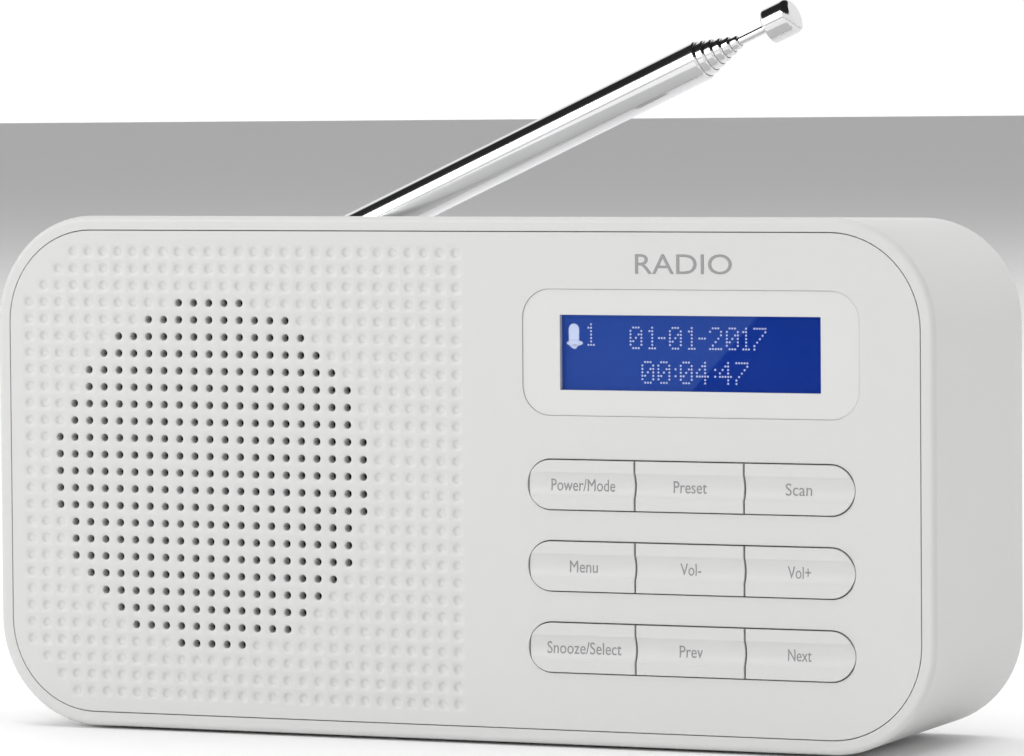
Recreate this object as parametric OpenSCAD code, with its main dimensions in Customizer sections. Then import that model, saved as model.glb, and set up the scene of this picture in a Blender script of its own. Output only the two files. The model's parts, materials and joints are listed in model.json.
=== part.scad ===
// Tabletop digital radio: a rounded sleeve closed by a front panel and a rear
// cover, with a round loudspeaker behind a dimpled grille, a character display,
// nine keys, a battery bay and a telescopic antenna on the back.
//
// Frame: +X to the radio's right seen from the front, +Y from front to back,
// +Z up. The origin is at the middle of the footprint, on the table.

/* [Body] */
// Width of the housing over its sides
body_w = 175; // [165:1:220]
// Height of the housing, without its feet
body_h = 88.7; // [87:0.1:110]
// Depth of the housing from bezel to rear edge
body_d = 44.5; // [43:0.5:60]
// How much the housing narrows on every side from front to rear
draft = 1; // [0:0.1:1]
// Radius of the four outer corners
corner_r = 18.5; // [16:0.5:22]
// Wall of the housing, which shows as the bezel
wall = 2.4; // [2:0.1:2.8]
// Rounding of the front and rear outer edges
edge_r = 1; // [0.4:0.1:1.2]
// Thickness of the front panel and of the rear cover
panel_t = 2; // [1.8:0.1:2.4]
// Gap around parts that drop into an opening
fit_gap = 0.15; // [0.1:0.05:0.25]
// How far the rubber feet stand out below the housing
foot_proud = 0.5; // [0.3:0.1:2]
// Radius of the rubber feet
foot_r = 5; // [3:0.5:6]

/* [Grille and speaker] */
// Distance between neighbouring grille cells
cell_pitch = 2.94; // [2.8:0.02:3.6]
// Diameter of an open grille hole
hole_d = 1.3; // [1:0.1:1.6]
// Radius of the field of open holes
open_field_r = 30.4; // [26:0.1:31]
// Least distance from a cell to the edge of the panel
cell_margin = 3.1; // [2.5:0.1:5]
// Distance from the housing's left side to the middle of the grille
speaker_inset = 41.55; // [41:0.05:50]
// Outer radius of the loudspeaker's flange
speaker_r = 33; // [30:0.5:34]

/* [Controls] */
// Distance from the housing's right side to the middle of the controls
controls_inset = 43.6; // [43:0.1:50]
// Width of the display bezel
bezel_w = 60.8; // [56:0.1:64]
// Height of the display bezel
bezel_h = 21.2; // [18:0.1:22]
// Width of the display window
window_w = 47.1; // [40:0.1:50]
// Height of the display window
window_h = 12.6; // [10:0.1:14]
// Height of the display's middle above the housing's bottom
window_z = 66; // [65:0.1:80]
// Width of a row of three keys
key_row_w = 59.3; // [54:0.1:62]
// Height of a key row
key_row_h = 8.7; // [7:0.1:9.5]
// Distance from one key row to the next
key_row_pitch = 13.7; // [12.5:0.1:14]
// Height of the lowest key row's middle above the housing's bottom
key_row_z = 16.4; // [16:0.1:24]
// How far a key goes in when it is pressed
key_travel = 0.5; // [0.3:0.1:0.6]
// How far the keys stand out from the panel
key_proud = 0.3; // [0.2:0.1:0.6]

/* [Antenna] */
// Outer diameter of the antenna's base tube
tube_d = 7.2; // [6.8:0.1:7.6]
// Difference in diameter from one antenna section to the next
section_step = 0.95; // [0.92:0.01:0.98]
// Length of the antenna's base tube
tube_l = 88; // [60:1:110]
// How far each collapsed section shows beyond the one around it
section_show = 1.5; // [1:0.05:3]
// Angle of the raised antenna above the horizontal
antenna_angle = 24.1; // [10:0.05:60]
// Distance from the housing's left side to the antenna's pivot
pivot_inset = 26.5; // [26:0.1:40]
// Distance from the antenna's pivot down from the housing's top
pivot_drop = 12.5; // [12:0.1:16]

/* [Battery bay] */
// Length of a battery cell
cell_l = 50.5; // [44:0.5:51]
// Diameter of a battery cell
cell_d = 14.5; // [10:0.1:14.5]
// Distance from the housing's right side to the middle of the bay
bay_inset = 61.5; // [61:0.5:70]
// Height of the bay's floor above the housing's bottom
bay_z = 8.5; // [8:0.1:12]

/* [Hidden] */
$fn = 48;

WHITE = "#dededc";
DARK = "#2a2a2c";
STEEL = "#c8cacc";
BOARD = "#2f6b45";
BRASS = "#c9a24a";

// overshoot that keeps a cut from ending on the face it cuts
over = 0.5;
// running clearance on the radius of a pin in its hole
run_gap = 0.06;
// gap round a trim piece set into the panel
trim_gap = 0.1;

// openings at the front and rear of the sleeve
open_w = body_w - 2 * wall;
open_h = body_h - 2 * wall;
open_r = corner_r - wall;
mid_z = body_h / 2;
back = body_d - panel_t;
// ledges inside the sleeve that the panel and the cover rest on
ledge = 1.4;
ledge_l = 2;
foot_inset_x = 26;
foot_inset_y = 12;
foot_pocket = 0.8;

// corner bosses, which keep clear of the ledges
boss_r = 3.5;
boss_reach = (open_r - ledge - boss_r - fit_gap) * sqrt(0.5);
boss_x = open_w / 2 - open_r + boss_reach;
boss_dz = open_h / 2 - open_r + boss_reach;
boss_split = 24;
screw_seat = 27;
screw_r = 1.2;
head_way_r = 2.6;

// grille: the field of open holes sits a little off the middle cell
grille_x = -body_w / 2 + speaker_inset;
field_shift = 0.15;
speaker_x = grille_x + field_shift;
speaker_z = mid_z - field_shift;
controls_x = body_w / 2 - controls_inset;
grille_end = controls_x - bezel_w / 2 - 12;
speaker_post_r = speaker_r + 2.6;
flange_y = panel_t + 0.35;
basket_flange = panel_t + 2.1;
surround_back = panel_t + 2.7;
cone_r = speaker_r - 7.5;
coil_r = 7.6;
basket_y = 17;
magnet_y = basket_y + 1;

// display stack, as depths behind the front face
bezel_recess = 0.15;
bezel_t = 0.9;
bezel_corner_r = 5;
lcd_front = bezel_recess + bezel_t + 0.1;
lcd_t = 2;
lcd_w = window_w + 4;
lcd_h = window_h + 3.4;
backlight_t = 3.2;
backlight_w = lcd_w + 4;
backlight_h = lcd_h + 3;
backlight_front = lcd_front + lcd_t + 0.05;
stake_r = 1.3;
ribbon_t = 0.16;

// keys
key_gap = 0.2;
split_gap = 0.35;
key_w = key_row_w / 3;
flange = 0.8;
flange_front = panel_t + fit_gap;
flange_t = 1;
post_r = 1.5;
scoop_depth = 0.6;
scoop_h = 4.2;
switch_side = 6;
switch_front = 5.8;
switch_t = 3.1;
post_end = switch_front + 0.4;
key_board_front = switch_front + switch_t;
board_t = 1.2;
key_board_w = key_row_w + 12.7;
key_post_x = key_row_w / 2 + 3.35;

// main board
main_front = 16;
main_t = 1.6;
main_x0 = controls_x - 43;
main_x1 = controls_x + 27;
main_z0 = 5.5;
main_z1 = body_h - 5.2;
main_posts = [
    [main_x0 + 3.6, 20], [main_x0 + 3.6, body_h - 18.7],
    [main_x1 - 5, main_z1 - 3.2], [main_x1 - 9, main_z0 + 3.1]
];
post_outer_r = 2.4;
pilot_r = 1;
wire_r = 0.6;

// battery bay: four cells lie one above the other
cells = 4;
cell_pitch_z = cell_d + 0.2;
bay_w = cell_l + 5;
bay_h = cells * cell_pitch_z;
bay_depth = cell_d + 0.9;
bay_x = body_w / 2 - bay_inset;
tray_wall = 1.5;
door_t = 1.6;
door_lip = 1.5;
door_gap = 0.3;
door_w = bay_w + 2 * door_lip;
hinge_r = 1;
hinge_pin_r = 0.6;
hinge_pin_l = 1.5;
hinge_z = bay_z - 0.5;
hinge_y = body_d - hinge_r;
door_top = bay_z + bay_h + door_lip;
bay_back = body_d - door_t;
bay_front = bay_back - bay_depth;
cell_y = bay_front + 0.3 + cell_d / 2;
contact_t = 0.3;
spring_l = 3.9;
tail_w = 3;
tail_t = 0.4;
tab_l = 3;
tab_gap = 0.3;
function cell_z(k) = bay_z + cell_pitch_z * (k + 0.5);
function tail_heights() = [cell_z(0) + 3, cell_z(cells - 1) - 3];

// sockets on the rear
jack_x = body_w / 2 - 21.5;
phone_z = 30;
dc_z = 48;
jack_board_t = 1.2;
jack_board_back = body_d - 15.5;
jack_post_dx = 5.2;
jack_post_z = (phone_z + dc_z) / 2 - 0.2;
phone_bore_r = 1.8;
phone_nose_r = 3.2;
dc_bore_r = 2.9;
dc_pin_r = 1;
dc_nose_r = 4.4;

// antenna
pivot_x = -body_w / 2 + pivot_inset;
pivot_z = body_h - pivot_drop;
tube_r = tube_d / 2;
arm_y = body_d + tube_r + 1.5;
stud_r = 2.5;
stud_flange_r = 5.5;
stud_flange_t = 1;
stud_bush_t = 4.5;
stud_start = body_d - 8.5;
antenna_boss_r = 5;
ear_r = 3.2;
ear_t = 1.5;
tongue_t = 2.2;
pin_r = 1.1;
tube_start = 7;
tube_wall = 0.35;
slide_gap = 0.08;
sections = 5;
tube_end = tube_start + tube_l;
rod_show = 5.9;
tip_l = 5.5;
tip_r = 3.2;
rest_x = pivot_x + tube_start + tube_l * 0.82;
rest_gap = 0.4;
rest_t = 1.8;
rest_w = 6;
rest_back = arm_y + tube_r + rest_gap + rest_t;

// the frame's origin is in the middle of the whole depth
front_y = -(rest_back - key_proud) / 2;

// ---------- shared shapes ----------

// a flat outline in X and Z, given the depth from y0 to y1
module slab(y0, y1) {
    translate([0, y1, 0]) rotate([90, 0, 0]) linear_extrude(y1 - y0) children();
}

// a round bar along Y
module bar(x, z, r, y0, y1) {
    translate([x, y1, z]) rotate([90, 0, 0]) cylinder(r = r, h = y1 - y0);
}

// a rectangle with true round corners, centred
module soft_rect(w, h, r) {
    square([w - 2 * r, h], center = true);
    square([w, h - 2 * r], center = true);
    for (sx = [-1, 1], sz = [-1, 1])
        translate([sx * (w / 2 - r), sz * (h / 2 - r)]) circle(r = r);
}

// the outline of what fills the sleeve's front or rear opening
module opening_shape(gap) {
    translate([0, mid_z]) soft_rect(open_w - 2 * gap, open_h - 2 * gap, open_r - gap);
}

module box_at(x0, x1, y0, y1, z0, z1) {
    translate([x0, y0, z0]) cube([x1 - x0, y1 - y0, z1 - z0]);
}

// moves a sub-part from the front face's frame to the radio's frame
module placed() {
    translate([0, front_y, foot_proud]) children();
}

// turns a shape drawn along +X, with its axis through the origin, into the raised antenna
module on_antenna() {
    placed() translate([pivot_x, arm_y, pivot_z]) rotate([0, -antenna_angle, 0]) children();
}

function arc(cx, cy, r, a0, a1, n) =
    [for (i = [0:n]) let (a = a0 + (a1 - a0) * i / n) [cx + r * cos(a), cy + r * sin(a)]];

// a closed round tube of radius r through the points p, with n sides
function unit(v) = v / norm(v);
function heading(p, i) = unit(p[min(i + 1, len(p) - 1)] - p[max(i - 1, 0)]);
function side_of(d) = unit(cross(d, abs(d[2]) < 0.9 ? [0, 0, 1] : [1, 0, 0]));
function ring(p, i, r, n) =
    let (d = heading(p, i), s = side_of(d), t = cross(d, s))
    [for (k = [0:n - 1]) p[i] + r * (cos(360 * k / n) * s + sin(360 * k / n) * t)];

module wire(p, r, n = 8) {
    m = len(p);
    points = [for (i = [0:m - 1]) each ring(p, i, r, n)];
    sides = [for (i = [0:m - 2], k = [0:n - 1])
        [i * n + k, i * n + (k + 1) % n, (i + 1) * n + (k + 1) % n, (i + 1) * n + k]];
    start = [[for (k = [n - 1:-1:0]) k]];
    end = [[for (k = [0:n - 1]) (m - 1) * n + k]];
    polyhedron(points, concat(sides, start, end));
}

// a smooth route: each corner of p is cut by a quadratic curve of k steps
function bend(a, b, c, k) =
    let (m = (a + b) / 2, n = (b + c) / 2)
    [for (i = [0:k - 1]) let (t = i / k) (1 - t) * (1 - t) * m + 2 * t * (1 - t) * b + t * t * n];
function route(p, k = 5) =
    let (z = len(p) - 1)
    concat([p[0]], [for (i = [1:z - 1]) each bend(p[i - 1], p[i], p[i + 1], k)],
           [(p[z - 1] + p[z]) / 2, p[z]]);

// ---------- housing ----------

// section of the sleeve's wall: inward distance from the front's outline, and
// depth; the outside draws in by the draft, and the inside stays straight
sleeve_section = concat(
    arc(edge_r, edge_r, edge_r, 180, 270, 6),
    [[wall, 0], [wall, panel_t + 0.1], [wall + ledge, panel_t + 0.1],
     [wall + ledge, panel_t + 0.1 + ledge_l - ledge / 2], [wall, panel_t + 0.1 + ledge_l],
     [wall, back - 0.1 - ledge_l], [wall + ledge, back - 0.1 - ledge_l + ledge / 2],
     [wall + ledge, back - 0.1], [wall, back - 0.1], [wall, body_d]],
    arc(draft + edge_r, body_d - edge_r, edge_r, 90, 180, 6));

// sweeps a wall section round a rounded rectangle of w by h
module frame_sweep(w, h, r, section) {
    profile = [for (p = section) [r - p[0], -p[1]]];
    rotate([90, 0, 0])
        for (k = [0:3]) {
            across = k % 2 == 0 ? w : h;
            along = k % 2 == 0 ? h : w;
            rotate(90 * k) {
                translate([across / 2 - r, 0, 0]) rotate([90, 0, 0])
                    linear_extrude(along - 2 * r, center = true) polygon(profile);
                translate([across / 2 - r, along / 2 - r, 0])
                    rotate_extrude(angle = 90) polygon(profile);
            }
        }
}

// the feet, or their pockets: bars of radius r from z0 up into the narrowing bottom
module foot_bars(r, z0) {
    for (sx = [-1, 1], y = [foot_inset_y, body_d - foot_inset_y])
        translate([sx * (body_w / 2 - foot_inset_x), y, z0])
            cylinder(r = r, h = foot_pocket + draft * y / body_d - z0);
}

module housing() {
    color(WHITE) placed() difference() {
        translate([0, 0, mid_z]) frame_sweep(body_w, body_h, corner_r, sleeve_section);
        foot_bars(foot_r + 0.1, -over);
    }
}

module rubber_feet() {
    color(DARK) placed() foot_bars(foot_r, -foot_proud);
}

// ---------- front panel ----------

function in_panel(x, z) =
    let (dx = max(abs(x) - (open_w / 2 - open_r), 0),
         dz = max(abs(z - mid_z) - (open_h / 2 - open_r), 0))
    norm([dx, dz]) <= open_r - cell_margin && x <= grille_end;
span = ceil(open_w / cell_pitch);
grille_cells = [for (i = [-span:span], j = [-span:span])
    let (x = grille_x + i * cell_pitch, z = mid_z + j * cell_pitch)
    if (in_panel(x, z)) [x, z]];
function is_open(c) = norm([c[0] - speaker_x, c[1] - speaker_z]) <= open_field_r;

module key_row_shape(grow) {
    r = key_row_h / 2 + grow;
    square([key_row_w - key_row_h, 2 * r], center = true);
    for (s = [-1, 1]) translate([s * (key_row_w - key_row_h) / 2, 0]) circle(r = r);
}

// the panel's openings at a given depth: the display's step, its hole and the keys' slots
module panel_openings(with_step) {
    translate([controls_x, window_z]) {
        if (with_step)
            soft_rect(bezel_w + 2 * trim_gap, bezel_h + 2 * trim_gap, bezel_corner_r + trim_gap);
        square([lcd_w + 0.4, lcd_h + 0.4], center = true);
    }
    for (k = [0:2])
        translate([controls_x, key_row_z + k * key_row_pitch]) key_row_shape(0);
}

// a post behind the panel with a blind hole that starts at hole_start
module front_boss(x, z, r, y1, hole, hole_start) {
    difference() {
        bar(x, z, r, panel_t - over, y1);
        bar(x, z, hole, hole_start, y1 + over);
    }
}

function speaker_posts() = [for (a = [45:90:315])
    [speaker_x + speaker_post_r * cos(a), speaker_z + speaker_post_r * sin(a)]];
function key_posts() = [for (s = [-1, 1], t = [0.5, 1.5])
    [controls_x + s * key_post_x, key_row_z + t * key_row_pitch]];

module front_panel() {
    step_y = bezel_recess + bezel_t + 0.05;
    color(WHITE) placed() {
        // the face down to the display's step
        slab(0, step_y) difference() {
            opening_shape(fit_gap);
            for (c = grille_cells) if (is_open(c)) translate(c) circle(r = hole_d / 2);
            panel_openings(true);
        }
        slab(step_y, panel_t) difference() {
            opening_shape(fit_gap);
            for (c = grille_cells) if (is_open(c)) translate(c) circle(r = hole_d / 2);
            panel_openings(false);
        }
        for (p = corners()) front_boss(p[0], p[1], boss_r, boss_split - 0.2, screw_r + 0.05, 8);
        for (p = speaker_posts()) front_boss(p[0], p[1], 2.2, basket_flange - 0.1, 0.9, 1);
        for (p = key_posts()) front_boss(p[0], p[1], post_outer_r, key_board_front, pilot_r, 3);
        for (p = main_posts) front_boss(p[0], p[1], post_outer_r, main_front, pilot_r, 6);
        for (s = [-1, 1])
            bar(controls_x + s * (backlight_w / 2 + 2.4), window_z, stake_r, panel_t - over,
                backlight_front + backlight_t);
    }
}

// ---------- rear cover ----------

module rear_boss(x, z) {
    difference() {
        bar(x, z, boss_r, boss_split, back + over);
        bar(x, z, head_way_r, screw_seat, back + over + 1);
        bar(x, z, screw_r + 0.05, boss_split - over, screw_seat + over);
    }
}

function corners() = [for (sx = [-1, 1], sz = [-1, 1]) [sx * boss_x, mid_z + sz * boss_dz]];

// the open-backed tray with a hole for each contact's tail
module battery_tray() {
    difference() {
        box_at(bay_x - bay_w / 2 - tray_wall, bay_x + bay_w / 2 + tray_wall,
               bay_front - tray_wall, back + 0.2,
               bay_z - tray_wall, bay_z + bay_h + tray_wall);
        box_at(bay_x - bay_w / 2, bay_x + bay_w / 2, bay_front, body_d,
               bay_z, bay_z + bay_h);
        for (z = tail_heights())
            box_at(bay_x - bay_w / 2 - tray_wall - over, bay_x - bay_w / 2 + over,
                   cell_y - tail_w / 2 - 0.1, cell_y + tail_w / 2 + 0.1,
                   z - tail_t / 2 - 0.1, z + tail_t / 2 + 0.1);
    }
}

module antenna_rest() {
    x0 = rest_x - rest_w / 2;
    x1 = rest_x + rest_w / 2;
    floor_z = pivot_z - tube_r - rest_gap;
    box_at(x0, x1, body_d - over, rest_back, floor_z - rest_t, floor_z);
    box_at(x0, x1, rest_back - rest_t, rest_back, floor_z - 0.1, pivot_z + 1);
    box_at(x0 + 2, x1 - 2, body_d - over, rest_back - 2.5, floor_z - rest_t - 1.2, floor_z - 1);
}

module rear_cover() {
    color(WHITE) placed() {
        difference() {
            union() {
                slab(back, body_d) opening_shape(fit_gap);
                battery_tray();
                bar(pivot_x, pivot_z, antenna_boss_r, body_d - stud_bush_t, back + over);
            }
            // the recess and opening for the door
            box_at(bay_x - door_w / 2 - door_gap, bay_x + door_w / 2 + door_gap,
                   bay_back - 0.05, body_d + over,
                   hinge_z - hinge_r - door_gap, door_top + door_gap);
            box_at(bay_x - bay_w / 2, bay_x + bay_w / 2, back - 1, body_d + over,
                   bay_z, bay_z + bay_h);
            // room for the door's hinge barrels and the sockets of its pins
            box_at(bay_x - door_w / 2 - door_gap, bay_x + door_w / 2 + door_gap,
                   hinge_y - hinge_r - door_gap, body_d + over,
                   hinge_z - hinge_r - door_gap, hinge_z + hinge_r + door_gap);
            translate([bay_x - door_w / 2 - hinge_pin_l - 0.2, hinge_y, hinge_z])
                rotate([0, 90, 0])
                    cylinder(r = hinge_pin_r + run_gap, h = door_w + 2 * hinge_pin_l + 0.4);
            // the notch for the door's tab
            box_at(bay_x - 6.4, bay_x + 6.4, bay_back - tab_l - 0.4, body_d + over,
                   bay_z + bay_h - over, door_top + door_gap);
            for (p = corners()) bar(p[0], p[1], head_way_r, back - over, body_d + over);
            bar(pivot_x, pivot_z, stud_r + run_gap, body_d - stud_bush_t - over, body_d + over);
            bar(jack_x, phone_z, phone_nose_r + fit_gap, back - over, body_d + over);
            bar(jack_x, dc_z, dc_nose_r + fit_gap, back - over, body_d + over);
            for (k = [-2:2])
                translate([speaker_x, 0, speaker_z - 6 + 5 * k])
                    slab(back - over, body_d + over) soft_rect(26, 1.8, 0.85);
        }
        for (p = corners()) rear_boss(p[0], p[1]);
        for (s = [-1, 1])
            difference() {
                bar(jack_x + s * jack_post_dx, jack_post_z, post_outer_r, jack_board_back,
                    back + over);
                bar(jack_x + s * jack_post_dx, jack_post_z, pilot_r, jack_board_back - over,
                    jack_board_back + 9);
            }
        antenna_rest();
    }
}

module screw(x, z, seat, dir, head_r, head_t, shank_r, length) {
    translate([x, seat, z]) rotate([dir > 0 ? -90 : 90, 0, 0]) {
        difference() {
            cylinder(r = head_r, h = head_t);
            for (a = [0, 90])
                rotate(a) translate([-head_r * 0.6, -0.25, head_t - 0.6])
                    cube([head_r * 1.2, 0.5, 1]);
        }
        translate([0, 0, -length]) cylinder(r = shank_r, h = length + 0.1);
    }
}

module cover_screws() {
    color(STEEL) placed()
        for (p = corners()) screw(p[0], p[1], screw_seat, 1, 2.3, 1.8, screw_r, 14);
}

// ---------- battery door and contacts ----------

module battery_door() {
    color(WHITE) placed() {
        difference() {
            union() {
                box_at(bay_x - door_w / 2, bay_x + door_w / 2, bay_back, body_d,
                       hinge_z, door_top);
                translate([bay_x - door_w / 2, hinge_y, hinge_z]) rotate([0, 90, 0])
                    cylinder(r = hinge_r, h = door_w);
            }
            // grip ribs near the top, as grooves
            for (k = [0:3])
                box_at(bay_x - 8, bay_x + 8, body_d - 0.5, body_d + over,
                       door_top - 5 - 2 * k, door_top - 4.2 - 2 * k);
        }
        translate([bay_x - door_w / 2 - hinge_pin_l, hinge_y, hinge_z]) rotate([0, 90, 0])
            cylinder(r = hinge_pin_r, h = door_w + 2 * hinge_pin_l);
        // the tab that reaches into the notch in the bay's roof
        box_at(bay_x - 6, bay_x + 6, bay_back - tab_l, bay_back + 0.1,
               bay_z + bay_h + 0.1, door_top - tab_gap);
    }
}

module coil(x0, dir, r0, r1, length, wire_r, turns) {
    steps = turns * 14;
    p = [for (i = [0:steps])
        let (t = i / steps, a = 360 * turns * t, r = r0 + (r1 - r0) * t)
        [x0 + dir * (wire_r + (length - 2 * wire_r) * t), r * cos(a), r * sin(a)]];
    wire(p, wire_r, 6);
}

module battery_springs() {
    color(STEEL) placed()
        for (k = [0:cells - 1]) {
            s = k % 2 == 0 ? -1 : 1;
            translate([bay_x + s * (bay_w / 2 - contact_t), cell_y, cell_z(k)])
                coil(0, -s, 4, 2.2, spring_l, 0.35, 3);
        }
}

module battery_plates() {
    color(STEEL) placed() {
        for (k = [0:cells - 1], s = [-1, 1])
            translate([bay_x + s * bay_w / 2, cell_y, cell_z(k)]) {
                box_at(s > 0 ? -contact_t : 0, s > 0 ? 0 : contact_t, -5, 5, -5, 5);
                if (s == (k % 2 == 0 ? 1 : -1))
                    rotate([0, -90 * s, 0]) cylinder(r = 2, h = contact_t + 0.5);
            }
        // links behind the plates join the cells in series
        for (k = [0:cells - 2]) {
            s = k % 2 == 0 ? 1 : -1;
            x = bay_x + s * bay_w / 2;
            box_at(s > 0 ? x - contact_t : x, s > 0 ? x : x + contact_t, cell_y - 2, cell_y + 2,
                   cell_z(k) + 4.9, cell_z(k + 1) - 4.9);
        }
        for (z = tail_heights())
            box_at(bay_x - bay_w / 2 - tray_wall - 2.5, bay_x - bay_w / 2 + contact_t,
                   cell_y - tail_w / 2, cell_y + tail_w / 2, z - tail_t / 2, z + tail_t / 2);
    }
}

// ---------- display ----------

module display_bezel() {
    color("#e6e6e4") placed() translate([controls_x, 0, window_z])
        slab(bezel_recess, bezel_recess + bezel_t) difference() {
            soft_rect(bezel_w, bezel_h, bezel_corner_r);
            square([window_w, window_h], center = true);
        }
}

module display_window() {
    color("#9db4e0", 0.35) placed() translate([controls_x, 0, window_z])
        slab(bezel_recess, bezel_recess + bezel_t)
            square([window_w - 0.06, window_h - 0.06], center = true);
}

module lcd_cell() {
    color("#12328f") placed() translate([controls_x, 0, window_z])
        slab(lcd_front, lcd_front + lcd_t) square([lcd_w, lcd_h], center = true);
}

module lcd_backlight() {
    color("#f0f0ea") placed() translate([controls_x, 0, window_z])
        difference() {
            union() {
                slab(backlight_front, backlight_front + backlight_t)
                    square([backlight_w, backlight_h], center = true);
                for (s = [-1, 1])
                    slab(backlight_front + 1, backlight_front + 2)
                        translate([s * backlight_w / 2, 0]) square([9, 6], center = true);
            }
            for (s = [-1, 1])
                bar(s * (backlight_w / 2 + 2.4), 0, stake_r + 0.05, 0, 20);
        }
}

// a strip of even thickness along the path p
function strip_normal(p, i) =
    let (d = unit(p[min(i + 1, len(p) - 1)] - p[max(i - 1, 0)])) [-d[1], d[0]];
function strip_outline(p, t) = concat(
    [for (i = [0:len(p) - 1]) p[i] + strip_normal(p, i) * t / 2],
    [for (i = [len(p) - 1:-1:0]) p[i] - strip_normal(p, i) * t / 2]);

module lcd_ribbon() {
    top = window_z - lcd_h / 2;
    face = main_front - ribbon_t / 2;
    path = route([[2.75, top], [2.75, top - 5], [9.3, top - 5.4], [face, top - 5.8],
                  [face, top - 10.5]], 6);
    color("#c98b3a") placed()
        translate([controls_x - 12, 0, 0]) rotate([90, 0, 90])
            linear_extrude(24) polygon(strip_outline(path, ribbon_t));
}

// ---------- circuit boards ----------

module board_hole(x, z, y0, y1) {
    bar(x, z, 1.15, y0 - over, y1 + over);
}

module key_board() {
    color(BOARD) placed() difference() {
        slab(key_board_front, key_board_front + board_t) {
            translate([controls_x - key_board_w / 2, key_row_z + 2.85])
                square([key_board_w, 2 * key_row_pitch - 5.7]);
            translate([controls_x - key_row_w / 2 - 1, key_row_z - 4.2])
                square([key_row_w - 1, 2 * key_row_pitch + 8.4]);
        }
        for (p = key_posts()) board_hole(p[0], p[1], key_board_front, key_board_front + board_t);
    }
}

function key_x(col) = controls_x + (col - 1) * key_w;
function key_z(row) = key_row_z + (2 - row) * key_row_pitch;

module tact_switches() {
    color(DARK) placed()
        for (col = [0:2], row = [0:2])
            difference() {
                translate([key_x(col), 0, key_z(row)])
                    slab(switch_front, switch_front + switch_t) square(switch_side, center = true);
                bar(key_x(col), key_z(row), post_r + 0.2, switch_front - over,
                    switch_front + key_travel + 0.9);
            }
}

module main_board() {
    color(BOARD) placed() difference() {
        box_at(main_x0, main_x1, main_front, main_front + main_t, main_z0, main_z1);
        for (p = main_posts) board_hole(p[0], p[1], main_front, main_front + main_t);
    }
}

module board_parts() {
    b = main_front + main_t;
    x = main_x0;
    color(DARK) placed() {
        box_at(x + 12, x + 26, b, b + 1.6, 44, 58);
        box_at(x + 12, x + 18, b, b + 1.5, 62, 68);
        box_at(x + 30, x + 36, b, b + 1.5, 50, 60);
        box_at(x + 12, x + 22, b, b + 1.7, 30, 36);
        box_at(x + 28, x + 34, b, b + 2, 32, 38);
        box_at(x + 14, x + 19, b, b + 3.4, 14, 19);
        for (k = [0:3]) bar(x + 27 + 6 * k, 16, 2.4, b, b + 4.8);
        for (k = [0:2]) bar(x + 44 + 6 * k, 26, 2, b, b + 4.4);
    }
}

module tuner_module() {
    b = main_front + main_t;
    x = main_x0 + 40;
    color(STEEL) placed() {
        box_at(x, x + 24, b, b + 0.8, main_z1 - 36, main_z1 - 9);
        box_at(x + 1, x + 23, b + 0.8, b + 3.4, main_z1 - 35, main_z1 - 10);
    }
}

module board_screws() {
    color(STEEL) placed() {
        for (p = key_posts()) screw(p[0], p[1], key_board_front + board_t, 1, 2, 1.3, 0.9, 6);
        for (p = main_posts) screw(p[0], p[1], main_front + main_t, 1, 2, 1.3, 0.9, 8);
        for (s = [-1, 1])
            screw(jack_x + s * jack_post_dx, jack_post_z, jack_board_back - jack_board_t, -1,
                  2, 1.3, 0.9, 8);
    }
}

// ---------- sockets on the rear ----------

module jack_board() {
    color(BOARD) placed() difference() {
        box_at(jack_x - 8, jack_x + 8, jack_board_back - jack_board_t, jack_board_back,
               phone_z - 7, dc_z + 8);
        for (s = [-1, 1])
            board_hole(jack_x + s * jack_post_dx, jack_post_z, jack_board_back - jack_board_t,
                       jack_board_back);
    }
}

module jack_header() {
    y0 = main_front + main_t;
    y1 = jack_board_back - jack_board_t;
    color(DARK) placed()
        box_at(jack_x - 6.5, jack_x - 0.5, y0, y1, phone_z - 3, phone_z + 3);
}

module headphone_jack() {
    color(DARK) placed() difference() {
        union() {
            box_at(jack_x - 4, jack_x + 4, jack_board_back, back - 0.3, phone_z - 4, phone_z + 4);
            bar(jack_x, phone_z, phone_nose_r, back - 0.5, body_d - 0.2);
        }
        bar(jack_x, phone_z, phone_bore_r, jack_board_back + 1, body_d + over);
    }
}

module dc_socket() {
    color(DARK) placed() {
        difference() {
            union() {
                box_at(jack_x - 4.7, jack_x + 4.7, jack_board_back, back - 0.3,
                       dc_z - 4.7, dc_z + 4.7);
                bar(jack_x, dc_z, dc_nose_r, back - 0.5, body_d - 0.2);
            }
            bar(jack_x, dc_z, dc_bore_r, jack_board_back + 4, body_d + over);
        }
        bar(jack_x, dc_z, dc_pin_r, jack_board_back + 3.5, body_d - 1.5);
    }
}

// ---------- loudspeaker ----------

// turns a section drawn as [radius, depth] about the loudspeaker's axis
module turned(section) {
    translate([speaker_x, 0, speaker_z]) rotate([-90, 0, 0]) rotate_extrude() polygon(section);
}

module grille_cloth() {
    color("#1a1a1b") placed()
        bar(speaker_x, speaker_z, speaker_r - 0.7, panel_t + 0.02, panel_t + 0.3);
}

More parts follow.
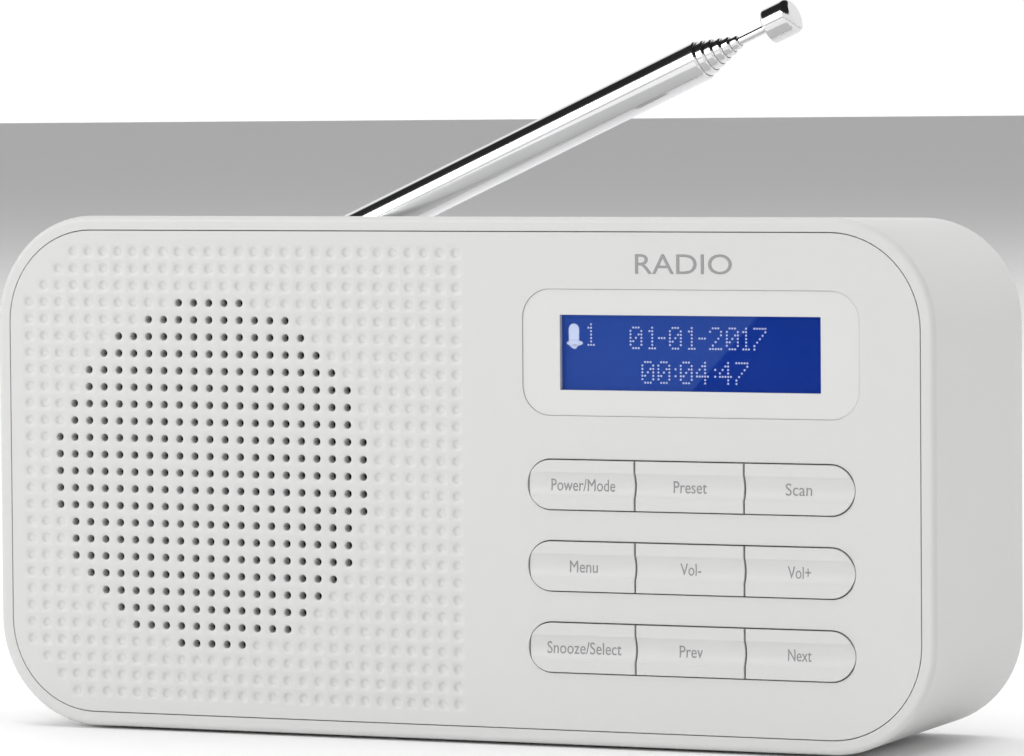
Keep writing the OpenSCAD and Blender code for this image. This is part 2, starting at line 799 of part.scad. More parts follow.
module speaker_basket() {
    color("#4a4a4d") placed() {
        difference() {
            turned([[speaker_r, flange_y], [speaker_r, basket_flange], [speaker_r - 2, basket_flange],
                    [speaker_r - 2, basket_flange + 1.3], [17, basket_y + 1], [9, basket_y + 1],
                    [9, basket_y], [16.2, basket_y], [speaker_r - 4.4, basket_flange + 1.5],
                    [speaker_r - 4.4, surround_back], [speaker_r - 2.8, surround_back],
                    [speaker_r - 2.8, flange_y]]);
            // windows between the four arms
            for (a = [0:90:270])
                translate([speaker_x, 0, speaker_z]) rotate([0, a, 0])
                    box_at(-8, 8, basket_flange + 2, basket_y - 2, 10, speaker_r);
        }
        // tag board for the leads
        box_at(speaker_x + 21, speaker_x + 24.5, 8.5, 9.5, speaker_z + 12, speaker_z + 20);
    }
}

module speaker_magnet() {
    color("#55565a") placed()
        turned([[0, magnet_y + 9], [16, magnet_y + 9], [16, magnet_y + 7], [18, magnet_y + 7],
                [18, magnet_y + 1.6], [15.5, magnet_y + 1.6], [15.5, magnet_y],
                [coil_r + 0.6, magnet_y], [coil_r + 0.6, magnet_y + 6.2],
                [coil_r - 1, magnet_y + 6.2], [coil_r - 1, magnet_y - 0.6], [0, magnet_y - 0.6]]);
}

module speaker_surround() {
    r0 = cone_r + 0.15;
    r1 = speaker_r - 2.9;
    m = (r0 + r1) / 2;
    roll = (r1 - r0) / 2 - 0.3;
    color("#202022") placed()
        turned(concat(
            [[r1, 4.3], [m + roll, 4.3]],
            arc(m, 4.3, roll, 0, -180, 10),
            [[r0, 4.3], [r0, 4.7], [m - roll + 0.4, 4.7]],
            arc(m, 4.7, roll - 0.4, 180, 360, 10),
            [[m + roll - 0.4, 4.7], [r1, 4.7]]));
}

module speaker_cone() {
    dome = [for (i = [0:6]) let (a = 15 * i) [(coil_r + 0.9) * sin(a), 11.9 - 2.4 * cos(a)]];
    inner = [for (i = [6:-1:0]) let (a = 15 * i) [(coil_r - 0.4) * sin(a), 12.4 - 2.4 * cos(a)]];
    color("#2b2b2e") placed()
        turned(concat(dome,
            [[cone_r, 4.8], [cone_r, 5.3], [coil_r + 0.15, 13.8], [coil_r + 0.15, magnet_y + 4.2],
             [coil_r - 0.4, magnet_y + 4.2]], inner));
}

module speaker_screws() {
    color(STEEL) placed()
        for (p = speaker_posts()) {
            screw(p[0], p[1], basket_flange + 0.8, 1, 2.2, 1.4, 0.8, 2.6);
            bar(p[0], p[1], 4.4, basket_flange, basket_flange + 0.81);
        }
}

// ---------- leads ----------

module speaker_wires() {
    for (k = [0:1]) {
        z = speaker_z + 14 + 4 * k;
        end_z = speaker_z + 2 + 6 * k;
        x = main_x0 + 6 + 3 * k;
        color(k == 0 ? "#b02a24" : DARK) placed()
            wire(route([[speaker_x + 22.8, 9.5, z], [speaker_x + 22.8, 13, z],
                        [speaker_x + 34, 13.5, z - 5], [x, 12, end_z],
                        [x, main_front, end_z]]), wire_r);
    }
}

module battery_wires() {
    x = bay_x - bay_w / 2 - tray_wall;
    for (k = [0:1]) {
        z = tail_heights()[k];
        up = k == 0 ? 1 : -1;
        color(k == 0 ? DARK : "#b02a24") placed()
            wire(route([[x - 2.5, cell_y, z], [x - 5, cell_y, z], [x - 5, 24, z + 5 * up],
                        [x - 4, 20.5, z + 8 * up], [main_x0 + 6, 20.5, z + 9 * up],
                        [main_x0 + 6, main_front + main_t, z + 9 * up]]), wire_r);
    }
}

tag_front = body_d - stud_bush_t - 0.4;

module antenna_tag() {
    color(BRASS) placed() difference() {
        union() {
            bar(pivot_x, pivot_z, 4.4, tag_front, tag_front + 0.4);
            box_at(pivot_x, pivot_x + 9, tag_front, tag_front + 0.4, pivot_z - 1.5, pivot_z + 1.5);
        }
        bar(pivot_x, pivot_z, stud_r + 0.3, tag_front - over, body_d);
    }
}

module antenna_wire() {
    color(DARK) placed()
        wire(route([[pivot_x + 7.5, tag_front, pivot_z], [pivot_x + 7.5, tag_front - 4, pivot_z],
                    [pivot_x + 24, 29, pivot_z + 1], [main_x0 - 8, 21, pivot_z + 2],
                    [main_x0 + 3, 21, pivot_z + 1],
                    [main_x0 + 3, main_front + main_t, pivot_z + 1]]), wire_r);
}

// ---------- antenna ----------

module antenna_stud() {
    color(STEEL) {
        placed() {
            bar(pivot_x, pivot_z, stud_r, stud_start, body_d + 0.2);
            bar(pivot_x, pivot_z, stud_flange_r, body_d + 0.15, body_d + 0.15 + stud_flange_t);
        }
        on_antenna() difference() {
            for (s = [-1, 1])
                translate([0, 0, s * (tongue_t / 2 + 0.1 + ear_t / 2)]) {
                    cylinder(r = ear_r, h = ear_t, center = true);
                    translate([0, (body_d - arm_y + stud_flange_t) / 2, 0])
                        cube([2 * ear_r, arm_y - body_d - stud_flange_t, ear_t], center = true);
                }
            cylinder(r = pin_r + 0.02, h = 20, center = true);
        }
    }
}

module antenna_nut() {
    color(BRASS) placed() difference() {
        translate([pivot_x, tag_front - 0.2, pivot_z]) rotate([90, 0, 0])
            cylinder(r = 4.4, h = 2.6, $fn = 6);
        bar(pivot_x, pivot_z, stud_r + 0.02, stud_start - over, body_d);
    }
}

module antenna_pin() {
    half = tongue_t / 2 + 0.1 + ear_t;
    color(STEEL) on_antenna() {
        cylinder(r = pin_r, h = 2 * half, center = true);
        for (s = [-1, 1])
            translate([0, 0, s * (half + 0.25)]) cylinder(r = pin_r + 0.7, h = 0.5, center = true);
    }
}

// a round bar or tube along the antenna, with eased ends
module arm_turned(section) {
    rotate([0, 90, 0]) rotate_extrude() polygon(section);
}

module antenna_tongue() {
    color(STEEL) on_antenna() difference() {
        union() {
            cylinder(r = ear_r - 0.3, h = tongue_t, center = true);
            translate([0, -2.4, -tongue_t / 2]) cube([tube_start - 1, 4.8, tongue_t]);
            arm_turned([[0, tube_start - 1.6], [tube_r, tube_start - 1.6], [tube_r, tube_start],
                        [tube_r - tube_wall, tube_start],
                        [tube_r - tube_wall, tube_start + 4], [0, tube_start + 4]]);
        }
        cylinder(r = pin_r + run_gap, h = 20, center = true);
    }
}

function tube_od(k) = tube_d - k * section_step;
function section_end(k) = tube_end + k * section_show;
function section_start(k) = tube_start + 4 + 0.5 * k;

// section k of the telescope; the mouth is rolled in and the inner end is plain
module telescope(k, start) {
    r = tube_od(k) / 2;
    inner = tube_od(k + 1) / 2 + slide_gap;
    e = section_end(k);
    color(STEEL) on_antenna()
        arm_turned([[inner, start], [r, start], [r, e - 0.3], [r - 0.15, e], [inner, e]]);
}

module antenna_tube() {
    r = tube_r;
    inner = r - tube_wall;
    e = section_end(0);
    mouth = tube_od(1) / 2 + slide_gap;
    color(STEEL) on_antenna()
        arm_turned([[inner, tube_start], [r, tube_start], [r, e - 0.3], [r - 0.15, e],
                    [mouth, e], [mouth, e - 1.5], [inner, e - 1.5]]);
}

module antenna_section_1() { telescope(1, section_start(1)); }
module antenna_section_2() { telescope(2, section_start(2)); }
module antenna_section_3() { telescope(3, section_start(3)); }
module antenna_section_4() { telescope(4, section_start(4)); }
module antenna_section_5() { telescope(5, section_start(5)); }

tip_start = section_end(sections) + rod_show;

module antenna_rod() {
    color(STEEL) on_antenna() translate([section_start(6), 0, 0]) rotate([0, 90, 0])
        cylinder(r = tube_od(6) / 2, h = tip_start + 3 - section_start(6));
}

module antenna_tip() {
    r = tip_r;
    t = tip_start;
    color(STEEL) on_antenna() arm_turned(concat(
        [[tube_od(6) / 2, t], [r - 0.5, t]],
        arc(r - 0.5, t + 0.5, 0.5, -90, 0, 4),
        arc(r - 1.2, t + tip_l - 1.2, 1.2, 0, 90, 6),
        [[0, t + tip_l], [0, t + 3], [tube_od(6) / 2, t + 3]]));
}

// ---------- keys ----------

// outline of one key of a row: col 0 and 2 have a half-round outer end
module key_shape(col, grow, split) {
    r = key_row_h / 2 - key_gap + grow;
    half = key_w / 2 - split;
    end = key_w / 2 - key_row_h / 2;
    if (col == 1) square([2 * half, 2 * r], center = true);
    else {
        s = col - 1;
        translate([s * (end - half) / 2, 0]) square([end + half, 2 * r], center = true);
        translate([s * end, 0]) circle(r = r);
    }
}

module key(col, row) {
    scoop = (scoop_h * scoop_h / 4 + scoop_depth * scoop_depth) / (2 * scoop_depth);
    color(WHITE) placed() translate([key_x(col), 0, key_z(row)]) {
        difference() {
            slab(-key_proud, flange_front + 0.1) key_shape(col, 0, split_gap / 2);
            translate([0, -key_proud - scoop + scoop_depth, 0]) rotate([0, 90, 0])
                cylinder(r = scoop, h = key_w + 2, center = true);
        }
        slab(flange_front, flange_front + flange_t) key_shape(col, flange, split_gap / 2);
        bar(0, 0, post_r, flange_front + 0.1, post_end);
    }
}

module key_power() { key(0, 0); }
module key_preset() { key(1, 0); }
module key_scan() { key(2, 0); }
module key_menu() { key(0, 1); }
module key_vol_down() { key(1, 1); }
module key_vol_up() { key(2, 1); }
module key_snooze() { key(0, 2); }
module key_prev() { key(1, 2); }
module key_next() { key(2, 2); }

housing();
front_panel();
rear_cover();
rubber_feet();
cover_screws();
battery_door();
battery_springs();
battery_plates();
display_bezel();
display_window();
lcd_cell();
lcd_backlight();
lcd_ribbon();
key_board();
tact_switches();
main_board();
board_parts();
tuner_module();
board_screws();
jack_board();
jack_header();
headphone_jack();
dc_socket();
grille_cloth();
speaker_basket();
speaker_magnet();
speaker_surround();
speaker_cone();
speaker_screws();
speaker_wires();
battery_wires();
antenna_tag();
antenna_wire();
antenna_stud();
antenna_nut();
antenna_pin();
antenna_tongue();
antenna_tube();
antenna_section_1();
antenna_section_2();
antenna_section_3();
antenna_section_4();
antenna_section_5();
antenna_rod();
antenna_tip();
key_power();
key_preset();
key_scan();
key_menu();
key_vol_down();
key_vol_up();
key_snooze();
key_prev();
key_next();
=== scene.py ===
# %% [markdown]
# # A tabletop radio, piece by piece
# The radio is a white plastic box with a dimpled loudspeaker grille, a blue character display, three
# pill-shaped rows of keys and a telescopic antenna. Its hard parts come from CAD and stay as they
# are. This lesson adds what CAD leaves plain: finishes, soft edges, printing and the display's dots.

import json
import math

import bmesh
import bpy
from mathutils import Matrix, Vector


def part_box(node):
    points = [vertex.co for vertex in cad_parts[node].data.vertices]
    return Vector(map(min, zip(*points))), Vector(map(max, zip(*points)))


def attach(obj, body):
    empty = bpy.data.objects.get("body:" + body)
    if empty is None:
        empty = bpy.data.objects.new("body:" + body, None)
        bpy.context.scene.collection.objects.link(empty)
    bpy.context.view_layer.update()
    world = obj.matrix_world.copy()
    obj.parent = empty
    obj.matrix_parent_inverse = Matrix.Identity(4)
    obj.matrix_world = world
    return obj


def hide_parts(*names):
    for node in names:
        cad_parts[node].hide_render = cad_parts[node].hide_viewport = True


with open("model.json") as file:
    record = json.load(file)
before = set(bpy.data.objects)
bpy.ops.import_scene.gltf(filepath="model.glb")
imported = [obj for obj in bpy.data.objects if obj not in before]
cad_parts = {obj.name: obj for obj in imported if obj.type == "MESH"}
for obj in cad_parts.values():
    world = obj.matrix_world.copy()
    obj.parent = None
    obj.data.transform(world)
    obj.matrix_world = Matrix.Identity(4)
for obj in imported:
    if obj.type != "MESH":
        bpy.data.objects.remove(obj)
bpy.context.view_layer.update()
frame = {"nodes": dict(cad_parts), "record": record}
nodes = frame["nodes"]
MM = 0.001

# %% [markdown]
# ## Where things are
# Every place below is read from the CAD pieces, so a change of size there moves the printing and the
# replaced pieces along with it.

# %% Measure the front
panel_lo, panel_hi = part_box("front_panel")
front = panel_lo.y
window_lo, window_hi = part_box("display_window")
print("front face at y =", round(front / MM, 2), "mm")

# %% [markdown]
# ## Shader maths as plain expressions
# A material is a network of nodes, which is hard to read as links. A small class wraps one socket so
# that masks can be written as sums: `x * 2` adds a Math node. The function `add` makes any other node.


# %% The socket wrapper
class Wire:
    def __init__(self, tree, socket):
        self.tree = tree
        self.socket = socket

    def join(self, operation, other):
        return add(self.tree, "ShaderNodeMath", {"operation": operation}, {0: self, 1: other})

    def __add__(self, other):
        return self.join("ADD", other)

    def __sub__(self, other):
        return self.join("SUBTRACT", other)

    def __mul__(self, other):
        return self.join("MULTIPLY", other)

    def __lt__(self, other):
        return self.join("LESS_THAN", other)


def add(tree, kind, settings=None, values=None, out=0):
    node = tree.nodes.new(kind)
    for name, value in (settings or {}).items():
        if name == "stops":
            ramp = node.color_ramp.elements
            while len(ramp) < len(value):
                ramp.new(0.5)
            for element, (place, colour) in zip(ramp, value):
                element.position = place
                element.color = colour
        else:
            setattr(node, name, value)
    for name, value in (values or {}).items():
        socket = node.inputs[name]
        if isinstance(value, Wire):
            tree.links.new(value.socket, socket)
        else:
            socket.default_value = value
    return Wire(tree, node.outputs[out])


# %% [markdown]
# ## Helpers for finishes
# Moulded plastic is never one flat value: its gloss drifts, and a fine spark texture breaks up the
# highlights. Each finish therefore starts from the same three parts: place, slow drift, fine grain.


# %% Place, noise and blends
# the radius that rounds a sharp edge in the shading
EDGE = 0.00022


def grey(v):
    return (v, v, v, 1)


def material(name, **constants):
    m = bpy.data.materials.new(name)
    m.use_nodes = True
    shader = m.node_tree.nodes["Principled BSDF"]
    for socket, value in constants.items():
        shader.inputs[socket.replace("_", " ")].default_value = value
    return m, m.node_tree, shader


def place(tree):
    return add(tree, "ShaderNodeTexCoord", out="Object")


def axes(tree, vector):
    split = add(tree, "ShaderNodeSeparateXYZ", values={0: vector}).socket.node
    return [Wire(tree, split.outputs[i]) for i in range(3)]


def noise(tree, vector, scale, detail):
    values = {"Vector": vector, "Scale": scale, "Detail": detail, "Roughness": 0.5}
    return add(tree, "ShaderNodeTexNoise", values=values)


def blend(tree, factor, first, second):
    values = {0: factor, 6: first, 7: second}
    return add(tree, "ShaderNodeMix", {"data_type": "RGBA"}, values, out=2)


def remap(tree, value, low, high, to_low, to_high):
    values = {"Value": value, "From Min": low, "From Max": high, "To Min": to_low, "To Max": to_high}
    return add(tree, "ShaderNodeMapRange", values=values)


def feed(tree, shader, name, wire):
    tree.links.new(wire.socket, shader.inputs[name])


def bump(tree, shader, height, distance):
    soft = add(tree, "ShaderNodeBevel", {"samples": 6}, {"Radius": EDGE})
    values = {"Height": height, "Distance": distance, "Strength": 1.0, "Normal": soft}
    feed(tree, shader, "Normal", add(tree, "ShaderNodeBump", values=values))


# %% [markdown]
# ## The finishes
# Most surfaces share one recipe with different numbers: a base colour that drifts slightly, a
# roughness that drifts with it, and a grain in the bump. A single function keeps them alike.


# %% The common recipe
def finish(name, colour, rough, grain, depth, drift, spots=0.05, **constants):
    m, tree, shader = material(name, **constants)
    where = place(tree)
    slow = noise(tree, where, 40.0, 3.0)
    fine = noise(tree, where, grain, 2.0)
    darker = tuple(c * (1 - drift) for c in colour) + (1,)
    lighter = tuple(min(1.0, c * (1 + drift)) for c in colour) + (1,)
    feed(tree, shader, "Base Color", blend(tree, slow, darker, lighter))
    feed(tree, shader, "Roughness", remap(tree, slow + fine * 0.3, 0.3, 1.0, rough - spots, rough + spots))
    bump(tree, shader, fine, depth)
    return m


# %% Make the finishes
white = finish("white_plastic", (0.57, 0.57, 0.565), 0.42, 1800.0, 0.000012, 0.008)
bezel_white = finish("bezel_plastic", (0.60, 0.60, 0.595), 0.24, 1200.0, 0.000003, 0.006)
rubber = finish("foot_rubber", (0.02, 0.02, 0.02), 0.8, 1500.0, 0.00003, 0.2)
plated = finish("plated_steel", (0.55, 0.55, 0.56), 0.32, 3000.0, 0.000006, 0.06, Metallic=1.0)
diffuser = finish("light_diffuser", (0.75, 0.76, 0.74), 0.5, 2000.0, 0.00001, 0.02)
amber_film = finish("amber_film", (0.42, 0.19, 0.04), 0.25, 900.0, 0.000006, 0.1)
board_green = finish("solder_mask", (0.02, 0.12, 0.05), 0.28, 700.0, 0.00002, 0.25)
black_moulding = finish("black_moulding", (0.015, 0.015, 0.016), 0.45, 1600.0, 0.00001, 0.2)
black_metal = finish("black_metal", (0.03, 0.03, 0.032), 0.4, 1500.0, 0.00001, 0.15)
ferrite = finish("ferrite", (0.05, 0.05, 0.052), 0.55, 900.0, 0.00004, 0.25)
paper = finish("pressed_paper", (0.02, 0.02, 0.021), 0.85, 900.0, 0.00006, 0.3)
red_jacket = finish("red_jacket", (0.35, 0.02, 0.02), 0.4, 900.0, 0.00001, 0.08)
black_jacket = finish("black_jacket", (0.02, 0.02, 0.02), 0.42, 900.0, 0.00001, 0.1)
brass = finish("plain_brass", (0.56, 0.38, 0.14), 0.3, 2500.0, 0.000005, 0.08, Metallic=1.0)
print("finishes made:", len(bpy.data.materials))

# %% [markdown]
# ## Chrome
# The antenna is drawn tube, plated bright. It isn't a perfect mirror: fine lines run along it from
# drawing and from being slid in and out. The lines come from noise stretched along the tube.


# %% Chrome along a direction
def chrome(name, angle):
    m, tree, shader = material(name, Metallic=1.0)
    mapping = {"Vector": place(tree), "Rotation": (0, angle, 0), "Scale": (0.02, 1.0, 1.0)}
    along = add(tree, "ShaderNodeMapping", values=mapping)
    lines = noise(tree, along, 4000.0, 2.0)
    slow = noise(tree, place(tree), 60.0, 2.0)
    feed(tree, shader, "Base Color", blend(tree, slow, (0.66, 0.66, 0.67, 1), (0.74, 0.74, 0.75, 1)))
    feed(tree, shader, "Roughness", remap(tree, lines + slow, 0.5, 1.5, 0.04, 0.12))
    bump(tree, shader, lines, 0.000002)
    return m


slide = next(j for j in frame["record"]["behaviour"]["joints"] if j["name"] == "rod_slide")
antenna_rise = math.atan2(slide["axis"][2], slide["axis"][0])
print("antenna rises", round(math.degrees(antenna_rise), 1), "degrees")
antenna_chrome = chrome("antenna_chrome", antenna_rise)

# %% [markdown]
# ## Speaker cloth
# Behind the open holes is black woven cloth. Two sine waves at right angles make a plain weave: where
# one thread goes over, the other goes under.


# %% Woven cloth
def weave():
    m, tree, shader = material("speaker_cloth")
    x, y, z = axes(tree, place(tree))
    thread = 2 * math.pi / (0.5 * MM)
    warp = add(tree, "ShaderNodeMath", {"operation": "SINE"}, {0: x * thread})
    weft = add(tree, "ShaderNodeMath", {"operation": "SINE"}, {0: z * thread})
    height = warp * weft * 0.5 + 0.5
    feed(tree, shader, "Base Color", blend(tree, height, (0.004, 0.004, 0.004, 1), (0.014, 0.014, 0.015, 1)))
    feed(tree, shader, "Roughness", remap(tree, height, 0.0, 1.0, 0.85, 0.95))
    bump(tree, shader, height, 0.00008)
    return m


cloth = weave()

# %% [markdown]
# ## The display
# A character display is a blue glass with pale dots where the liquid crystal lets light through. A
# reflection is painted into the glass's colour: the blue is paler to the left of a slanting line. The line
# is a comparison of two coordinates, so it stays sharp at any distance. The window in front is clear
# plastic, nearly unseen.


# %% Blue glass and clear window
# slope and offset of the slanting line that bounds the painted reflection
reflection_line_slope = 0.96
reflection_line_offset = 0.006


def display_glass():
    m, tree, shader = material("display_glass", Specular_IOR_Level=0.08, Emission_Strength=0.5)
    x, y, z = axes(tree, place(tree))
    middle = (window_lo + window_hi) / 2
    # painted reflection: left of the slanting line the blue is paler, a reflection painted into the colour
    # and its glow
    painted_reflection_mask = (x - middle.x) - (z - middle.z) * reflection_line_slope < reflection_line_offset
    slow = noise(tree, place(tree), 60.0, 2.0)
    deep = blend(tree, slow, (0.0, 0.016, 0.175, 1), (0.0, 0.020, 0.190, 1))
    # the paler blue of the painted reflection
    painted_reflection_blue = blend(tree, slow, (0.011, 0.040, 0.215, 1), (0.014, 0.044, 0.230, 1))
    colour = blend(tree, painted_reflection_mask, deep, painted_reflection_blue)
    feed(tree, shader, "Base Color", colour)
    feed(tree, shader, "Roughness", remap(tree, slow, 0.3, 0.7, 0.12, 0.2))
    feed(tree, shader, "Emission Color", colour)
    return m


def clear_plastic():
    m, tree, shader = material("clear_plastic", IOR=1.45, Specular_IOR_Level=0.2)
    slow = noise(tree, place(tree), 80.0, 2.0)
    feed(tree, shader, "Base Color", blend(tree, slow, (0.01, 0.02, 0.08, 1), (0.02, 0.03, 0.10, 1)))
    feed(tree, shader, "Roughness", remap(tree, slow, 0.3, 0.7, 0.03, 0.06))
    feed(tree, shader, "Alpha", remap(tree, slow, 0.0, 1.0, 0.05, 0.07))
    return m


lcd_blue = display_glass()
window_clear = clear_plastic()
dot_light = finish("display_dots", (0.62, 0.70, 0.95), 0.3, 900.0, 0.000002, 0.02)
print_grey = finish("printed_grey", (0.27, 0.27, 0.275), 0.5, 3000.0, 0.000002, 0.03)

# %% [markdown]
# ## Dress the CAD pieces
# A CAD piece keeps its mesh; only what fills its material slot changes.

# %% Give every CAD piece its finish
dress = {
    white: ["housing", "front_panel", "rear_cover", "battery_door"],
    bezel_white: ["display_bezel"],
    plated: ["cover_screws", "battery_springs", "battery_plates", "board_screws", "speaker_screws",
             "tuner_module"],
    window_clear: ["display_window"],
    lcd_blue: ["lcd_cell"],
    diffuser: ["lcd_backlight"],
    amber_film: ["lcd_ribbon"],
    board_green: ["key_board", "main_board", "jack_board"],
    black_moulding: ["tact_switches", "board_parts", "jack_header", "headphone_jack", "dc_socket"],
    cloth: ["grille_cloth"],
    black_metal: ["speaker_basket"],
    ferrite: ["speaker_magnet"],
    rubber: ["rubber_feet", "speaker_surround"],
    paper: ["speaker_cone"],
    red_jacket: ["speaker_wires", "battery_wires"],
    black_jacket: ["antenna_wire"],
    brass: ["antenna_tag", "antenna_nut"],
}
key_names = ["key_power", "key_preset", "key_scan", "key_menu", "key_vol_down", "key_vol_up",
             "key_snooze", "key_prev", "key_next"]
dress[white] += key_names
dress[antenna_chrome] = [n for n in nodes if n.startswith("antenna_") and n not in
                         ("antenna_tag", "antenna_nut", "antenna_wire")]
for look, names in dress.items():
    for name in names:
        nodes[name].data.materials.clear()
        nodes[name].data.materials.append(look)
bare = [n for n in nodes if not any(n in names for names in dress.values())]
print("pieces without a finish:", bare)

# %% [markdown]
# ## Working like a person at the screen
# An operator acts on everything that is selected, so each step starts by selecting nothing. A
# finished piece has its place in its mesh, which is what applying the transform does.


# %% Selection helpers
def clear_selection():
    if bpy.context.mode != "OBJECT":
        bpy.ops.object.mode_set(mode="OBJECT")
    bpy.ops.object.select_all(action="DESELECT")


def settle(obj):
    clear_selection()
    obj.select_set(True)
    bpy.context.view_layer.objects.active = obj
    bpy.ops.object.transform_apply(location=True, rotation=True, scale=True)
    return obj


# %% [markdown]
# ## The dimpled front panel
# The real panel is one moulding: a sheet covered with a square grid of shallow dimples. In a round
# field in front of the loudspeaker the dimples go right through. CAD makes the holes; the soft
# dimples are modelled here, because a shallow bowl is easier to shape as rings of vertices.
# One cell of each kind is made, copied to its places, and the cells are sewn into one sheet.

# %% The grid and where each kind of cell goes
cell = 2.94
cell_x = panel_lo.x / MM + 39.0
cell_z = (panel_lo.z + panel_hi.z) / 2 / MM
open_middle = (cell_x + 0.15, cell_z - 0.15)
open_reach = 30.4
grid_right = 1.4
grid_margin = 2.9
panel_round = 15.9
panel_half = ((panel_hi.x - panel_lo.x) / 2 / MM, (panel_hi.z - panel_lo.z) / 2 / MM)


def in_grid(x, z):
    corner_x = max(abs(x) - (panel_half[0] - panel_round), 0)
    corner_z = max(abs(z - cell_z) - (panel_half[1] - panel_round), 0)
    return math.hypot(corner_x, corner_z) <= panel_round - grid_margin and x <= grid_right


cells = [(cell_x + i * cell, cell_z + j * cell) for i in range(-14, 17) for j in range(-14, 15)]
cells = [c for c in cells if in_grid(*c)]
open_cells = [c for c in cells if math.hypot(c[0] - open_middle[0], c[1] - open_middle[1]) <= open_reach]
closed_cells = [c for c in cells if c not in open_cells]
print("open cells:", len(open_cells), "dimples:", len(closed_cells))


# %% Count the edges that don't join two faces
def open_edges(obj):
    mesh = bmesh.new()
    mesh.from_mesh(obj.data)
    count = sum(1 for e in mesh.edges if not e.is_manifold)
    mesh.free()
    return count


# %% Model one cell: a square with rings of vertices going in
def start_edit(obj, kind="EDGE"):
    clear_selection()
    bpy.context.view_layer.objects.active = obj
    obj.select_set(True)
    bpy.ops.object.mode_set(mode="EDIT")
    bpy.ops.mesh.select_mode(type=kind)
    bpy.ops.mesh.select_all(action="DESELECT")


def one_cell(name, rings, closed):
    clear_selection()
    bpy.ops.mesh.primitive_circle_add(vertices=16, radius=rings[0][0] * MM, location=(0, 0, 0))
    obj = bpy.context.object
    obj.name = name
    obj.rotation_euler = (math.pi / 2, 0, 0)
    settle(obj)
    start_edit(obj)
    bpy.ops.mesh.select_all(action="SELECT")
    last = rings[0][0]
    for radius, depth in rings[1:]:
        bpy.ops.mesh.extrude_edges_move()
        ratio = radius / last
        bpy.ops.transform.resize(value=(ratio, ratio, ratio))
        bpy.ops.object.mode_set(mode="OBJECT")
        for v in obj.data.vertices:
            if v.select:
                v.co.y = depth * MM
        bpy.ops.object.mode_set(mode="EDIT")
        last = radius
    if closed:
        bpy.ops.mesh.edge_face_add()
        bpy.ops.mesh.poke()
    # the outer ring goes out to the square, four steps to a side
    bpy.ops.mesh.select_all(action="DESELECT")
    bpy.ops.object.mode_set(mode="OBJECT")
    mouth = rings[0][0] * MM
    rim = [v for v in obj.data.vertices if abs(v.co.xz.length - mouth) < 1e-6 and v.co.y < 1e-9]
    for v in rim:
        v.select = True
    for e in obj.data.edges:
        e.select = all(obj.data.vertices[i] in rim for i in e.vertices)
    bpy.ops.object.mode_set(mode="EDIT")
    bpy.ops.mesh.extrude_edges_move()
    bpy.ops.object.mode_set(mode="OBJECT")
    for v in obj.data.vertices:
        if v.select:
            turn = round(math.atan2(v.co.z, v.co.x) / (math.pi / 8)) % 16
            side, step = divmod((turn + 2) % 16, 4)
            along = (step / 2 - 1) * cell / 2 * MM
            edge = cell / 2 * MM
            v.co.x, v.co.z = [(edge, along), (-along, edge), (-edge, -along), (along, -edge)][side]
    return obj


dimple_rings = [(0.88, 0), (0.80, 0.05), (0.70, 0.15), (0.48, 0.27), (0.22, 0.31)]
hole_rings = [(0.80, 0), (0.73, 0.04), (0.67, 0.14), (0.64, 0.35)]
dimple_cell = one_cell("dimple_cell", dimple_rings, True)
hole_cell = one_cell("hole_cell", hole_rings, False)
print("faces in a dimple and in a hole:", len(dimple_cell.data.polygons), len(hole_cell.data.polygons))


# %% Copy the cells and sew them together
def copies(original, places_mm):
    made = []
    for x, z in places_mm:
        twin = original.copy()
        twin.data = original.data.copy()
        twin.data.transform(Matrix.Translation((x * MM, front, z * MM)))
        bpy.context.collection.objects.link(twin)
        made.append(twin)
    return made


def join(objects, name):
    clear_selection()
    for obj in objects:
        obj.select_set(True)
    bpy.context.view_layer.objects.active = objects[0]
    bpy.ops.object.join()
    bpy.context.object.name = name
    return bpy.context.object


sheet = join(copies(dimple_cell, closed_cells) + copies(hole_cell, open_cells), "grille_sheet")
for pattern in (dimple_cell, hole_cell):
    bpy.data.objects.remove(pattern)
print("sheet faces:", len(sheet.data.polygons))


# %% Outline the panel and its openings
def rounded_outline(name, x, z, width, height, radius, segments=14):
    clear_selection()
    bpy.ops.mesh.primitive_plane_add(size=1, location=(x, front, z), rotation=(math.pi / 2, 0, 0))
    obj = bpy.context.object
    obj.name = name
    obj.scale = (width, height, 1)
    settle(obj)
    start_edit(obj, "VERT")
    bpy.ops.mesh.select_all(action="SELECT")
    bpy.ops.mesh.bevel(affect="VERTICES", offset=radius, segments=segments)
    bpy.ops.mesh.select_all(action="SELECT")
    bpy.ops.mesh.delete(type="ONLY_FACE")
    bpy.ops.object.mode_set(mode="OBJECT")
    return obj


bezel_lo, bezel_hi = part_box("display_bezel")
bezel_mid = (bezel_lo + bezel_hi) / 2
opening_size = bezel_hi - bezel_lo + Vector((0.06, 0, 0.06)) * MM
opening_round = 0.00503
key_flange = 0.0006
row_height = 0.0087
row_round = 0.00434
outlines = [
    rounded_outline("outline", 0, cell_z * MM, 2 * panel_half[0] * MM, 2 * panel_half[1] * MM,
                    panel_round * MM),
    rounded_outline("display_opening", bezel_mid.x, bezel_mid.z, opening_size.x, opening_size.z,
                    opening_round),
]
for left, right in (("key_power", "key_scan"), ("key_menu", "key_vol_up"), ("key_snooze", "key_next")):
    a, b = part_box(left)[0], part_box(right)[1]
    mid = (a + b) / 2
    width = b.x - a.x - 2 * key_flange
    outlines.append(rounded_outline(left + "_row", mid.x, mid.z, width, row_height, row_round))
panel = join([sheet] + outlines, "front_face")
print("outlines:", len(outlines))

